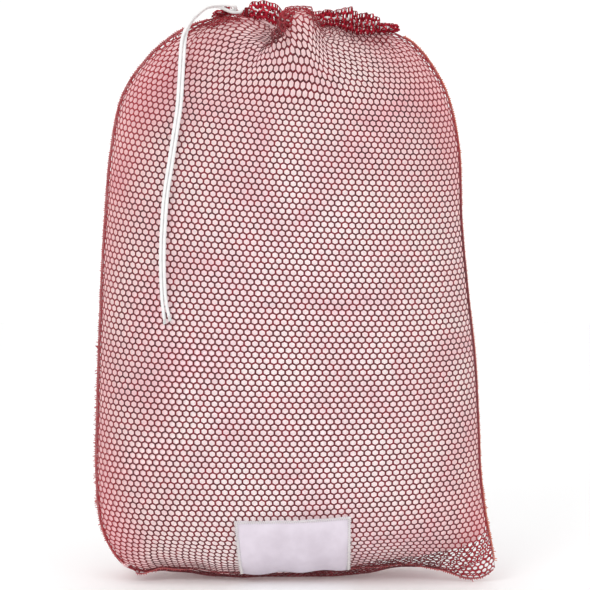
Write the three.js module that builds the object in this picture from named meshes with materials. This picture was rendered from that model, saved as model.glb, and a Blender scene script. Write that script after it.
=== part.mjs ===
// Mesh laundry bag, filled and standing, drawn together at the mouth by a drawcord.
// Millimetres, +Z up, front towards -Y, origin on the floor at the middle of the bag's box.
//
// Two net panels are lofted between four guide curves: the left and right side seams, and the
// front and back ridges that run up the middle of each panel. Everything sewn to the panels
// (hem casing, seams, identity patch) is placed from the same surfaces.

import * as THREE from 'three';

// ---- driving dimensions -------------------------------------------------------------------
const NET_THICKNESS = 2.0; // the net's yarn, taken as one plain skin
const SEAM_GAP = 0.9; // clear space on each side of a seam
const TOUCH_GAP = 0.5; // clear space between layers that lie on each other
const SWELL_POWER = 0.9; // below 1 the section is fuller than an ellipse
const PANEL_COLUMNS = 28;
const PANEL_ROWS = 34;

// The bottom corners stay empty, and both panels lie together there like ears. Each ear takes
// these shares of the panel's width and height; the right one hangs below the seam line.
const RIGHT_EAR = { across: 0.3, up: 0.085 };
const LEFT_EAR = { across: 0.2, up: 0.05 };
const EAR_DROOP = 8;

const SEAM_START = 2; // the overlocked edge stands out past the panels from here
const SEAM_WIDTH = 4.5; // by this much
const SEAM_THICKNESS = 3;
const SEAM_TOOTH = 1.2; // overlock loops stand out by this much
const SEAM_STEPS = 72;

const CORD_DIAMETER = 4.5;
const CORD_SIDES = 8;
const CASING_HEIGHT = 24;
const CASING_THICKNESS = 8;
const CASING_BORE = 5.6; // the tunnel that the cord runs in
const CASING_STEPS = 64;
const CASING_LIFT = CASING_HEIGHT / 2 + TOUCH_GAP; // tunnel centre above the panels' top edge

const EXIT_START = 0.045; // where the casing stops and starts again, as shares of the mouth ring
const EXIT_END = 0.085;
const BARTACK_INSET = 0.006;

const PATCH_LEFT = -77;
const PATCH_RIGHT = 75;
const PATCH_FOOT = 0.006; // shares of the front panel's height
const PATCH_TOP = 0.116;
const PATCH_THICKNESS = 0.8;
const STITCH_WIDTH = 5;
const STITCH_THICKNESS = 0.7;

const FRONT = -1;
const BACK = 1;

// ---- guide curves -------------------------------------------------------------------------
const guide = (points) => new THREE.CatmullRomCurve3(points.map((p) => new THREE.Vector3(...p)));

const LEFT_SEAM = guide([
  [-218, -58, 13], [-245, -52, 34], [-267, -36, 77], [-276, -14, 140], [-276, -3, 230],
  [-272, 0, 350], [-268, 0, 440], [-264, 0, 500], [-256, 0, 590], [-238, 0, 672],
  [-202, -1, 722], [-152, -2, 754], [-106, -2, 770],
]);
const RIGHT_SEAM = guide([
  [274, -56, 20], [269, -52, 50], [264, -40, 82], [258, -18, 141], [256, -6, 210],
  [251, -1, 306], [241, 0, 396], [232, 0, 493], [227, 0, 603], [210, 0, 672],
  [185, -1, 712], [160, -2, 738], [138, -2, 750],
]);
const FRONT_RIDGE = guide([
  [10, -58, 9], [6, -79, 28], [2, -93, 58], [0, -101, 100], [0, -104, 200], [-2, -103, 340],
  [-4, -98, 480], [-4, -90, 600], [2, -75, 690], [8, -56, 738], [13, -38, 758], [15, -31, 766],
]);
const BACK_RIDGE = guide([
  [10, -58, 9], [10, -38, -3], [5, 0, -9], [2, 50, -8], [0, 83, 12], [0, 97, 50],
  [0, 101, 150], [0, 101, 300], [-2, 98, 480], [-2, 90, 600], [2, 75, 690], [8, 56, 738],
  [13, 38, 758], [15, 31, 766],
]);

// The cord's free ends, from the hem, over the left shoulder and down the front.
const LEFT_TAIL = [
  [-88.6, -18.5, 784.6], [-86, -20, 785], [-82.5, -23.5, 786], [-81.2, -28.3, 787.3],
  [-82.5, -33.1, 788.5], [-86, -36.6, 789.3], [-90.8, -38.2, 789.8], [-99, -39.4, 790.1],
  [-109.5, -40.7, 789.7], [-121, -41.8, 786.5], [-133, -43, 777.5], [-142.5, -44, 767],
  [-150, -45.5, 754], [-154.2, -48.2, 739], [-155.6, -53, 720], [-156.3, -60, 698],
  [-157.2, -66, 675], [-158.7, -70.5, 650], [-163.5, -74, 615], [-169.5, -76, 575],
  [-176.3, -76.8, 530], [-179.6, -77.4, 490], [-181.2, -78.6, 450], [-180.6, -80, 415],
  [-178.8, -81.2, 385], [-176, -82.4, 362],
];
const RIGHT_TAIL = [
  [-70.8, -23.9, 783.6], [-76, -24.9, 782], [-82, -26.6, 781.2], [-88.5, -29.2, 782],
  [-95.5, -31.7, 784.6], [-102.5, -33.7, 787.4], [-110, -35, 788.2], [-121, -36.4, 785.8],
  [-132, -37.8, 777], [-141.2, -39.1, 767], [-147.6, -40.9, 754], [-149.9, -45, 739],
  [-150.8, -51.8, 720], [-151.5, -60, 698], [-152.4, -66.4, 675], [-153.9, -71.1, 650],
  [-158.7, -74.8, 615], [-164.7, -77, 575], [-171.5, -78, 530], [-174.8, -78.6, 490],
  [-176.4, -79.8, 450], [-175.8, -81.4, 415], [-173.8, -83, 387], [-169.6, -84.8, 366],
];

// ---- the bag's surface --------------------------------------------------------------------
function loft(ridge, u, v) {
  const left = LEFT_SEAM.getPointAt(v);
  const right = RIGHT_SEAM.getPointAt(v);
  const turn = Math.PI * u;
  const swell = Math.max(Math.sin(turn), 0) ** SWELL_POWER;
  const middle = left.clone().lerp(right, 0.5);
  const chord = left.lerp(right, (1 - Math.cos(turn)) / 2);
  return ridge.getPointAt(v).sub(middle).multiplyScalar(swell).add(chord);
}

// 1 in the empty corners, where both panels lie together, and 0 on the filled bag.
function earShare(u, v) {
  const right = 1 - (1 - u) / RIGHT_EAR.across - v / RIGHT_EAR.up;
  const left = 1 - u / LEFT_EAR.across - v / LEFT_EAR.up;
  return THREE.MathUtils.smoothstep(Math.max(right, left), 0, 0.45);
}

function earDroop(u, v) {
  const rise = THREE.MathUtils.smoothstep(u, 0.72, 0.88);
  const fall = 1 - THREE.MathUtils.smoothstep(u, 0.88, 1);
  return EAR_DROOP * rise * fall * Math.max(1 - v / RIGHT_EAR.up, 0);
}

// Outer face of a panel at u across (0 left seam, 1 right seam) and v up (0 bottom seam, 1 hem).
function panelPoint(side, u, v) {
  const front = loft(FRONT_RIDGE, u, v);
  const ear = earShare(u, v);
  const point = side === FRONT ? front : loft(BACK_RIDGE, u, v).lerp(front, ear);
  point.z = Math.max(point.z - earDroop(u, v), 0);
  point.y += side * THREE.MathUtils.lerp(SEAM_GAP, NET_THICKNESS + SEAM_GAP, ear);
  return point;
}

function panelNormal(side, u, v) {
  const step = 0.004;
  const u0 = Math.max(u - step, 0);
  const u1 = Math.min(u + step, 1);
  const v0 = Math.max(v - step, 0);
  const v1 = Math.min(v + step, 1);
  const across = panelPoint(side, u1, v).sub(panelPoint(side, u0, v));
  const up = panelPoint(side, u, v1).sub(panelPoint(side, u, v0));
  return across.cross(up).multiplyScalar(-side).normalize();
}

// A point of the panel, moved out along its normal.
function onPanel(side, u, v, out) {
  return panelPoint(side, u, v).addScaledVector(panelNormal(side, u, v), out);
}

// The share u at which the front panel passes x, on the row v.
function shareAtX(x, v) {
  let low = 0.1;
  let high = 0.9;
  for (let k = 0; k < 20; k += 1) {
    const u = (low + high) / 2;
    if (panelPoint(FRONT, u, v).x < x) low = u;
    else high = u;
  }
  return (low + high) / 2;
}

// ---- solids -------------------------------------------------------------------------------
// A closed solid between two faces that are grids of points. With wrap, the grid's columns
// close on themselves, as round a tube; every open edge gets a rim.
function shellSolid(outer, inner, columns, rows, wrap = false) {
  const count = wrap ? columns : columns + 1;
  const positions = [];
  for (const face of [outer, inner]) {
    for (let j = 0; j <= rows; j += 1) {
      for (let i = 0; i < count; i += 1) positions.push(...face(i, j).toArray());
    }
  }
  const index = [];
  const at = (face, i, j) => (face * (rows + 1) + j) * count + (i % count);
  const quad = (a, b, c, d) => index.push(a, b, c, a, c, d);
  for (let j = 0; j < rows; j += 1) {
    for (let i = 0; i < columns; i += 1) {
      quad(at(0, i, j), at(0, i + 1, j), at(0, i + 1, j + 1), at(0, i, j + 1));
      quad(at(1, i, j + 1), at(1, i + 1, j + 1), at(1, i + 1, j), at(1, i, j));
    }
  }
  for (let i = 0; i < columns; i += 1) {
    quad(at(1, i, 0), at(1, i + 1, 0), at(0, i + 1, 0), at(0, i, 0));
    quad(at(0, i, rows), at(0, i + 1, rows), at(1, i + 1, rows), at(1, i, rows));
  }
  if (!wrap) {
    for (let j = 0; j < rows; j += 1) {
      quad(at(0, 0, j), at(0, 0, j + 1), at(1, 0, j + 1), at(1, 0, j));
      quad(at(1, columns, j), at(1, columns, j + 1), at(0, columns, j + 1), at(0, columns, j));
    }
  }
  return closedGeometry(positions, index);
}

// The faces point out when the volume comes out positive; otherwise they are all turned over.
function closedGeometry(positions, index) {
  let volume = 0;
  const corner = (k) => new THREE.Vector3().fromArray(positions, index[k] * 3);
  for (let k = 0; k < index.length; k += 3) {
    volume += corner(k).dot(corner(k + 1).cross(corner(k + 2)));
  }
  if (volume < 0) index.reverse();
  const geometry = new THREE.BufferGeometry();
  geometry.setAttribute('position', new THREE.Float32BufferAttribute(positions, 3));
  geometry.setIndex(index);
  geometry.computeVertexNormals();
  return geometry;
}

function cordSolid(curve, steps) {
  const section = new THREE.Shape();
  for (let k = 0; k < CORD_SIDES; k += 1) {
    const turn = (2 * Math.PI * k) / CORD_SIDES;
    const x = (CORD_DIAMETER / 2) * Math.cos(turn);
    const y = (CORD_DIAMETER / 2) * Math.sin(turn);
    if (k === 0) section.moveTo(x, y);
    else section.lineTo(x, y);
  }
  return new THREE.ExtrudeGeometry(section, { steps, bevelEnabled: false, extrudePath: curve });
}

// ---- sub-parts ----------------------------------------------------------------------------
// Rows stand closer together at the bottom and at the hem, where the panel turns fastest.
function rowShare(j) {
  const even = j / PANEL_ROWS;
  const eased = (1 - Math.cos(Math.PI * even)) / 2;
  return (even + eased) / 2;
}

function panel(side) {
  const face = (out) => (i, j) => onPanel(side, i / PANEL_COLUMNS, rowShare(j), out);
  return shellSolid(face(0), face(-NET_THICKNESS), PANEL_COLUMNS, PANEL_ROWS);
}

// An overlocked edge: a narrow strip along a seam, with a tooth at every other step.
// pointAt(t) is the seam line and outAt(t) the way the strip stands out from it.
function overlock(pointAt, outAt, steps) {
  const across = [SEAM_START, SEAM_START + SEAM_WIDTH];
  const face = (lift) => (i, j) => {
    const t = j / steps;
    const tooth = i === 1 && j % 2 === 1 ? SEAM_TOOTH : 0;
    const out = outAt(t);
    const flat = new THREE.Vector3(0, 1, 0).cross(out).cross(out).normalize();
    return pointAt(t).addScaledVector(out, across[i] + tooth).addScaledVector(flat, lift);
  };
  return shellSolid(face(SEAM_THICKNESS / 2), face(-SEAM_THICKNESS / 2), 1, steps);
}

function sideSeam(curve, sign, start) {
  const share = (t) => THREE.MathUtils.lerp(start, 0.985, t);
  const pointAt = (t) => curve.getPointAt(share(t));
  const outAt = (t) => {
    const along = curve.getTangentAt(share(t));
    return new THREE.Vector3(along.z, 0, -along.x).multiplyScalar(sign).normalize();
  };
  return overlock(pointAt, outAt, SEAM_STEPS);
}

function bottomSeam() {
  const share = (t) => THREE.MathUtils.lerp(0.03, 0.985, t);
  const pointAt = (t) => {
    const front = panelPoint(FRONT, share(t), 0);
    return front.lerp(panelPoint(BACK, share(t), 0), 0.5);
  };
  const under = new THREE.Vector3(0, -0.7, -0.7);
  const down = new THREE.Vector3(0, -0.05, -1);
  const outAt = (t) => under.clone().lerp(down, earShare(share(t), 0)).normalize();
  return overlock(pointAt, outAt, SEAM_STEPS);
}

// The ring at the middle of the tunnel: the panels' top edges, lifted by half the hem.
function mouthRing() {
  const points = [];
  const perSide = 12;
  for (const side of [FRONT, BACK]) {
    for (let k = 0; k < perSide; k += 1) {
      const u = side === FRONT ? k / perSide : 1 - k / perSide;
      points.push(panelPoint(side, u, 1).add(new THREE.Vector3(0, 0, CASING_LIFT)));
    }
  }
  return new THREE.CatmullRomCurve3(points, true);
}

const MOUTH_RING = mouthRing();

// A point beside the tunnel: out from the mouth and up from the ring's middle.
function besideRing(share, out, up) {
  const t = ((share % 1) + 1) % 1;
  const along = MOUTH_RING.getTangentAt(t);
  const outward = new THREE.Vector3(along.y, -along.x, 0).normalize();
  return MOUTH_RING.getPointAt(t).addScaledVector(outward, out).add(new THREE.Vector3(0, 0, up));
}

// The casing runs from the end of the exit opening right round to its start.
const casingShare = (t) => THREE.MathUtils.lerp(EXIT_END, 1 + EXIT_START, t);

function hemCasing() {
  const sides = 12;
  const wall = (halfOut, halfUp) => (i, j) => {
    const turn = (2 * Math.PI * i) / sides;
    return besideRing(casingShare(j / CASING_STEPS), halfOut * Math.cos(turn), halfUp * Math.sin(turn));
  };
  const outer = wall(CASING_THICKNESS / 2, CASING_HEIGHT / 2);
  const bore = wall(CASING_BORE / 2, CASING_BORE / 2);
  return shellSolid(outer, bore, sides, CASING_STEPS, true);
}

// A thread ring near the casing's lower edge, with a small wave.
function hemStitching() {
  const steps = 2 * CASING_STEPS;
  const short = 3 * BARTACK_INSET;
  const shareAt = (j) => THREE.MathUtils.lerp(EXIT_END + short, 1 + EXIT_START - short, j / steps);
  const level = -CASING_HEIGHT / 4;
  const skin = (CASING_THICKNESS / 2) * Math.cos(Math.PI / 6) + TOUCH_GAP;
  const face = (out) => (i, j) => {
    const wave = j % 2 === 0 ? 0.8 : -0.8;
    return besideRing(shareAt(j), out, level + wave + (i === 0 ? -0.7 : 0.7));
  };
  return shellSolid(face(skin + STITCH_THICKNESS), face(skin), 1, steps);
}

// A bar of close stitches that stops the casing's end from fraying.
function exitBartack(share) {
  const skin = CASING_THICKNESS / 2 + TOUCH_GAP;
  const rows = 8;
  const half = CASING_HEIGHT / 2 - 2;
  const face = (out) => (i, j) => {
    const up = THREE.MathUtils.lerp(-half, half, j / rows);
    return besideRing(share + (i === 0 ? -0.0025 : 0.0025), out, up);
  };
  return shellSolid(face(skin + STITCH_THICKNESS), face(skin), 1, rows);
}

class HemCordPath extends THREE.Curve {
  getPoint(t, target = new THREE.Vector3()) {
    return target.copy(besideRing(casingShare(t), 0, 0));
  }
}

function cordTail(points) {
  return cordSolid(guide(points), 40);
}

// Cloth laid on the front panel between two x lines and two rows.
function onFront(xAt, vAt, columns, rows, low, high) {
  const face = (out) => (i, j) => {
    const v = vAt(i, j);
    return onPanel(FRONT, shareAtX(xAt(i, j), v), v, out);
  };
  return shellSolid(face(high), face(low), columns, rows);
}

function identityPatch() {
  const columns = 8;
  const rows = 8;
  const xAt = (i) => THREE.MathUtils.lerp(PATCH_LEFT, PATCH_RIGHT, i / columns);
  const vAt = (i, j) => THREE.MathUtils.lerp(PATCH_FOOT, PATCH_TOP, j / rows);
  return onFront(xAt, vAt, columns, rows, TOUCH_GAP, TOUCH_GAP + PATCH_THICKNESS);
}

// One thread round three sides of the patch: up the left edge, over the top, down the right.
function patchStitching() {
  const perSide = 8;
  const rise = STITCH_WIDTH / FRONT_RIDGE.getLength();
  const turnAt = [
    [PATCH_LEFT, PATCH_FOOT], [PATCH_LEFT, PATCH_TOP], [PATCH_RIGHT, PATCH_TOP], [PATCH_RIGHT, PATCH_FOOT],
  ];
  const inset = [[1, 0], [1, -1], [-1, -1], [-1, 0]];
  const place = (i, j) => {
    const leg = Math.min(Math.floor(j / perSide), 2);
    const t = j / perSide - leg;
    const [x, v] = [0, 1].map((k) => THREE.MathUtils.lerp(turnAt[leg][k], turnAt[leg + 1][k], t));
    const [dx, dv] = [0, 1].map((k) => THREE.MathUtils.lerp(inset[leg][k], inset[leg + 1][k], t));
    return [x + i * dx * STITCH_WIDTH, v + i * dv * rise];
  };
  const low = 2 * TOUCH_GAP + PATCH_THICKNESS;
  return onFront(
    (i, j) => place(i, j)[0], (i, j) => place(i, j)[1], 1, 3 * perSide, low, low + STITCH_THICKNESS,
  );
}

// ---- assembly -----------------------------------------------------------------------------
const finish = (color, roughness) => new THREE.MeshStandardMaterial({ color, roughness, metalness: 0 });
const NET = finish(0xa81f33, 0.75);
const RED_THREAD = finish(0x8c1626, 0.7);
const WHITE_CORD = finish(0xf3f2ee, 0.8);
const PATCH_CLOTH = finish(0xe7dfe8, 0.85);
const WHITE_THREAD = finish(0xf4eee2, 0.7);

const bag = new THREE.Group();

function add(name, geometry, material) {
  const mesh = new THREE.Mesh(geometry, material);
  mesh.name = name;
  bag.add(mesh);
}

add('front_panel', panel(FRONT), NET);
add('back_panel', panel(BACK), NET);
add('left_seam_overlock', sideSeam(LEFT_SEAM, -1, 0.03), RED_THREAD);
add('right_seam_overlock', sideSeam(RIGHT_SEAM, 1, 0.01), RED_THREAD);
add('bottom_seam_overlock', bottomSeam(), RED_THREAD);
add('hem_casing', hemCasing(), NET);
add('hem_stitching', hemStitching(), RED_THREAD);
add('exit_bartack_left', exitBartack(EXIT_START - BARTACK_INSET), RED_THREAD);
add('exit_bartack_right', exitBartack(EXIT_END + BARTACK_INSET), RED_THREAD);
add('drawcord_in_hem', cordSolid(new HemCordPath(), CASING_STEPS), WHITE_CORD);
add('drawcord_tail_left', cordTail(LEFT_TAIL), WHITE_CORD);
add('drawcord_tail_right', cordTail(RIGHT_TAIL), WHITE_CORD);
add('identity_patch', identityPatch(), PATCH_CLOTH);
add('patch_stitching', patchStitching(), WHITE_THREAD);

export default bag;
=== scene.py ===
"""Mesh laundry bag: crimson knotted net, drawn together by a white cord, standing full on a pale floor.

Shapes are worked out in millimetres from the same guide curves as the CAD part, and every mesh is
written in metres, in the row frame: +Z up, front towards -Y.
"""

import math
import random

import bpy
import numpy as np
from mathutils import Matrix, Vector
from mathutils.bvhtree import BVHTree


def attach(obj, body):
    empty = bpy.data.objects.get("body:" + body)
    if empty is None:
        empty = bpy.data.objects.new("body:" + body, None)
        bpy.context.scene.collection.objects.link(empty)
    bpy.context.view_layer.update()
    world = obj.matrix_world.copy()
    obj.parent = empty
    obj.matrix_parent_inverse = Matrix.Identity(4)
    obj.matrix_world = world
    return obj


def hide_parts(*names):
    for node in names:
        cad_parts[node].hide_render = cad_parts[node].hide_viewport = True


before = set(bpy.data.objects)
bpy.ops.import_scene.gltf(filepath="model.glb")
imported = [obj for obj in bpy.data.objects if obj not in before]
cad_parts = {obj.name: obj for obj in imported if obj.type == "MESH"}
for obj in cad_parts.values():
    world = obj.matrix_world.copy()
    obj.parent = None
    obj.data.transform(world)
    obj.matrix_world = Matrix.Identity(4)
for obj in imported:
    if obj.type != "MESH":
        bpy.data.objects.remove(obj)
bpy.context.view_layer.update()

MM = 0.001
FRONT, BACK = -1, 1
BODY = "root"

# ---- driving dimensions, in millimetres ----------------------
FLAT_WIDTH, FLAT_HEIGHT = 610, 914  # each net panel as it was cut
CELL_WIDTH = 10.0  # net: hole to hole across
FRONT_ROWS, BACK_ROWS = 108, 122  # net: rows of holes from the bottom seam to the hem
STRAND_WIDTH, STRAND_DEPTH = 2.5, 1.2
HEM_STRAND_WIDTH = 3.4  # the hem's net is folded over, and its strands lie closer

SWELL_POWER = 0.9  # under 1 makes the bag's section fuller than an ellipse
RIGHT_EAR = (0.3, 0.085)  # the empty bottom corners: shares of the bag's width and height
LEFT_EAR = (0.2, 0.05)
EAR_DROOP = 10
LAYER_GAP = 1.6  # half the space between the two panels where they lie together
FLOOR_GAP = 0.8  # the least height of the net's middle over the floor

HEM_HEIGHT = 24
HEM_ROW_HEIGHT = 7.2
HEM_BULGE = 3.6  # half the thickness of the hem, over the cord
EXIT_START, EXIT_END = 0.045, 0.085  # shares of the mouth ring where the cord comes out

CORD_DIAMETER = 4.5

PATCH_LEFT, PATCH_RIGHT = -74, 74.5
PATCH_FOOT, PATCH_TOP = 0.0005, 0.124  # shares of the front panel's height
PATCH_LIFT = 1.6  # off the net's middle, so that the cloth clears its strands

# ---- guide curves, the same as the CAD part's ----------------
LEFT_SEAM = [
    (-218, -58, 13), (-245, -52, 34), (-267, -36, 77), (-276, -14, 140), (-276, -3, 230),
    (-272, 0, 350), (-268, 0, 440), (-264, 0, 500), (-256, 0, 590), (-238, 0, 672),
    (-202, -1, 722), (-152, -2, 754), (-106, -2, 770),
]
RIGHT_SEAM = [
    (274, -56, 20), (269, -52, 50), (264, -40, 82), (258, -18, 141), (256, -6, 210),
    (251, -1, 306), (241, 0, 396), (232, 0, 493), (227, 0, 603), (210, 0, 672),
    (185, -1, 712), (160, -2, 738), (138, -2, 750),
]
FRONT_RIDGE = [
    (10, -58, 9), (6, -79, 28), (2, -93, 58), (0, -101, 100), (0, -104, 200), (-2, -103, 340),
    (-4, -98, 480), (-4, -90, 600), (2, -75, 690), (8, -56, 738), (13, -38, 758), (15, -31, 766),
]
BACK_RIDGE = [
    (10, -58, 9), (10, -38, -3), (5, 0, -9), (2, 50, -8), (0, 83, 12), (0, 97, 50),
    (0, 101, 150), (0, 101, 300), (-2, 98, 480), (-2, 90, 600), (2, 75, 690), (8, 56, 738),
    (13, 38, 758), (15, 31, 766),
]
LEFT_TAIL = [
    (-88.6, -18.5, 784.6), (-86, -20, 785), (-82.5, -23.5, 786), (-81.2, -28.3, 787.3),
    (-82.5, -33.1, 788.5), (-86, -36.6, 789.3), (-90.8, -38.2, 789.8), (-99, -39.4, 790.1),
    (-109.5, -40.7, 789.7), (-121, -41.8, 786.5), (-133, -43, 777.5), (-142.5, -44, 767),
    (-150, -45.5, 754), (-154.2, -48.2, 739), (-155.6, -53, 720), (-156.3, -60, 698),
    (-157.2, -66, 675), (-158.7, -70.5, 650), (-163.5, -74, 615), (-169.5, -76, 575),
    (-176.3, -76.8, 530), (-179.6, -77.4, 490), (-181.2, -78.6, 450), (-180.6, -80, 415),
    (-178.8, -81.2, 385), (-176, -82.4, 362),
]
RIGHT_TAIL = [
    (-70.8, -23.9, 783.6), (-76, -24.9, 782), (-82, -26.6, 781.2), (-88.5, -29.2, 782),
    (-95.5, -31.7, 784.6), (-102.5, -33.7, 787.4), (-110, -35, 788.2), (-121, -36.4, 785.8),
    (-132, -37.8, 777), (-141.2, -39.1, 767), (-147.6, -40.9, 754), (-149.9, -45, 739),
    (-150.8, -51.8, 720), (-151.5, -60, 698), (-152.4, -66.4, 675), (-153.9, -71.1, 650),
    (-158.7, -74.8, 615), (-164.7, -77, 575), (-171.5, -78, 530), (-174.8, -78.6, 490),
    (-176.4, -79.8, 450), (-175.8, -81.4, 415), (-173.8, -83, 387), (-169.6, -84.8, 366),
]


def smoothstep(x, low=0.0, high=1.0):
    x = np.clip((x - low) / (high - low), 0, 1)
    return x * x * (3 - 2 * x)


def plateau(x, start, high, low, end):
    """Rises from start to high, and falls from low to end."""
    return smoothstep(x, start, high) * (1 - smoothstep(x, low, end))


def bump(x, centre, width):
    return np.exp(-(((x - centre) / width) ** 2))


def unit(vectors):
    return vectors / np.maximum(np.linalg.norm(vectors, axis=-1, keepdims=True), 1e-9)


def lengths_along(line):
    """How far along a line each of its points is, or along each column of a grid of points."""
    steps = np.linalg.norm(np.diff(line, axis=0), axis=-1)
    return np.concatenate([0 * steps[:1], np.cumsum(steps, axis=0)])


def read_line(places, along, line):
    """Points of a line at some places along it; along has the place of each of the line's points."""
    return np.stack([np.interp(places, along, line[:, k]) for k in range(3)], axis=-1)


class Guide:
    """A centripetal Catmull-Rom curve through given points, read by its share of length."""

    def __init__(self, points, closed=False):
        points = np.array(points, float)
        if closed:
            points = np.vstack([points[-1], points, points[:2]])
        else:
            points = np.vstack([2 * points[0] - points[1], points, 2 * points[-1] - points[-2]])
        stretches = [self.stretch(*points[k : k + 4]) for k in range(len(points) - 3)]
        self.points = np.vstack(stretches)
        self.along = lengths_along(self.points)
        self.length = self.along[-1]

    @staticmethod
    def stretch(before, start, end, after, count=40):
        gaps = [np.linalg.norm(b - a) ** 0.5 for a, b in ((before, start), (start, end), (end, after))]
        first, middle, last = gaps
        leaving = (start - before) / first - (end - before) / (first + middle) + (end - start) / middle
        arriving = (end - start) / middle - (after - start) / (middle + last) + (after - end) / last
        leaving, arriving = leaving * middle, arriving * middle
        t = np.linspace(0, 1, count)[:, None]
        return (
            (2 * t**3 - 3 * t**2 + 1) * start
            + (t**3 - 2 * t**2 + t) * leaving
            + (3 * t**2 - 2 * t**3) * end
            + (t**3 - t**2) * arriving
        )

    def at(self, share):
        return read_line(np.clip(share, 0, 1) * self.length, self.along, self.points)


# ---- objects and camera --------------------------------------
def add_object(name, data):
    """Puts a mesh, a camera or a light into the scene."""
    thing = bpy.data.objects.new(name, data)
    bpy.context.scene.collection.objects.link(thing)
    return thing


def aim_at(thing, place, aim):
    """Stands a camera or a light at a place, so that it looks at its aim."""
    thing.location = place
    thing.rotation_euler = (Vector(aim) - Vector(place)).to_track_quat("-Z", "Y").to_euler()


def make_camera():
    """A long lens straight in front of the bag, a little above level."""
    lens, sensor, view_width = 100, 36, 0.803
    aim = Vector((0, -0.06, 0.394))
    distance = view_width / 2 / (sensor / 2 / lens)
    raised = math.radians(2.0)
    data = bpy.data.cameras.new("camera")
    data.lens = lens
    data.sensor_width = sensor
    data.clip_end = 50
    camera = add_object("camera", data)
    aim_at(camera, aim + distance * Vector((0, -math.cos(raised), math.sin(raised))), aim)
    bpy.context.scene.camera = camera


# ---- meshes --------------------------------------------------
def make_mesh(name, points_mm, faces, material):
    mesh = bpy.data.meshes.new(name)
    mesh.from_pydata((np.asarray(points_mm) * MM).tolist(), [], [list(map(int, f)) for f in faces])
    mesh.materials.append(material)
    mesh.polygons.foreach_set("use_smooth", [True] * len(mesh.polygons))
    mesh.validate()
    return add_object(name, mesh)


def stand_for(piece, node):
    """The piece takes the place of a CAD node, and rides on the bag's only body."""
    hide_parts(node)
    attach(piece, BODY)


def grid_faces(rows, columns, wrap=False):
    """Quads of a (rows + 1) by columns grid of points; wrap closes each row on itself."""
    count = columns if wrap else columns + 1
    j, i = np.meshgrid(np.arange(rows), np.arange(columns), indexing="ij")
    right = (i + 1) % count
    quads = [j * count + i, j * count + right, (j + 1) * count + right, (j + 1) * count + i]
    return np.stack(quads, axis=-1).reshape(-1, 4)


def tube(path, radius, sides, pinch=None):
    """Points and faces of a closed tube; pinch(s, turn) scales the radius along and round it."""
    path = np.asarray(path, float)
    tangents = unit(np.gradient(path, axis=0))
    side = np.cross(tangents[0], (0, 0, 1) if abs(tangents[0][2]) < 0.9 else (1, 0, 0))
    along = lengths_along(path)
    turn = np.linspace(0, 2 * math.pi, sides, endpoint=False)
    rings = []
    for k, tangent in enumerate(tangents):
        side = unit(side - tangent * side.dot(tangent))
        other = np.cross(tangent, side)
        size = radius * (pinch(along[k], turn) if pinch else 1)
        ring = np.cos(turn)[:, None] * side + np.sin(turn)[:, None] * other
        rings.append(path[k] + ring * np.reshape(size * np.ones(sides), (-1, 1)))
    faces = grid_faces(len(path) - 1, sides, wrap=True).tolist()
    last = (len(path) - 1) * sides
    faces.append(list(range(sides - 1, -1, -1)))
    faces.append(list(range(last, last + sides)))
    return np.vstack(rings), faces


def join_parts(parts):
    """One list of points and one of faces from several (points, faces) pairs."""
    points, faces, start = [], [], 0
    for part_points, part_faces in parts:
        points.append(part_points)
        faces.extend([[k + start for k in face] for face in part_faces])
        start += len(part_points)
    return np.vstack(points), faces


# ---- the bag's surface ---------------------------------------
left_seam, right_seam = Guide(LEFT_SEAM), Guide(RIGHT_SEAM)
ridges = {FRONT: Guide(FRONT_RIDGE), BACK: Guide(BACK_RIDGE)}


def loft(left, right, ridge, u, v):
    turn = math.pi * u[..., None]
    swell = np.maximum(np.sin(turn), 0) ** SWELL_POWER
    start, end = left.at(v), right.at(v)
    chord = start + (end - start) * (1 - np.cos(turn)) / 2
    return chord + (ridge.at(v) - (start + end) / 2) * swell


def ear_share(u, v):
    """1 in the empty bottom corners, where both panels lie together, and 0 on the filled bag."""
    right = 1 - (1 - u) / RIGHT_EAR[0] - v / RIGHT_EAR[1]
    left = 1 - u / LEFT_EAR[0] - v / LEFT_EAR[1]
    return smoothstep(np.maximum(right, left), 0, 0.45)


def ear_droop(u, v):
    return EAR_DROOP * plateau(u, 0.72, 0.88, 0.88, 1) * np.maximum(1 - v / RIGHT_EAR[1], 0)


def foot_lift(x, y):
    """The load's foot is round, so the net's front edge hangs clear of the floor between the corners."""
    sides = 11 * bump(x, 150, 60) + 8 * plateau(x, -212, -178, -184, -70)
    middle = 8 * bump(x, 52, 78) + 4.5 * (1 - smoothstep(x, -30, 20))
    return sides + middle * (1 - smoothstep(y, -56, -20))


def plain_panel(side, u, v):
    """The panel's smooth surface, before its tucks and creases."""
    front = loft(left_seam, right_seam, ridges[FRONT], u, v)
    ear = ear_share(u, v)
    if side == FRONT:
        points = front
    else:
        back = loft(left_seam, right_seam, ridges[BACK], u, v)
        points = back + (front - back) * ear[..., None]
    points[..., 2] = np.maximum(points[..., 2] - ear_droop(u, v), FLOOR_GAP)
    lift = foot_lift(points[..., 0], points[..., 1])
    points[..., 2] += lift * (1 - smoothstep(points[..., 2], 5, 75))
    points[..., 1] += side * LAYER_GAP * ear
    return points


def row_shares(points):
    """Each point's share of its row's length, row by row, and the rows' lengths."""
    along = lengths_along(points.swapaxes(0, 1)).T
    return along / along[:, -1:], along[:, -1]


def grid_normals(points, side):
    across = np.gradient(points, axis=1)
    up = np.gradient(points, axis=0)
    return unit(np.cross(across, up) * -side)


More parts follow.
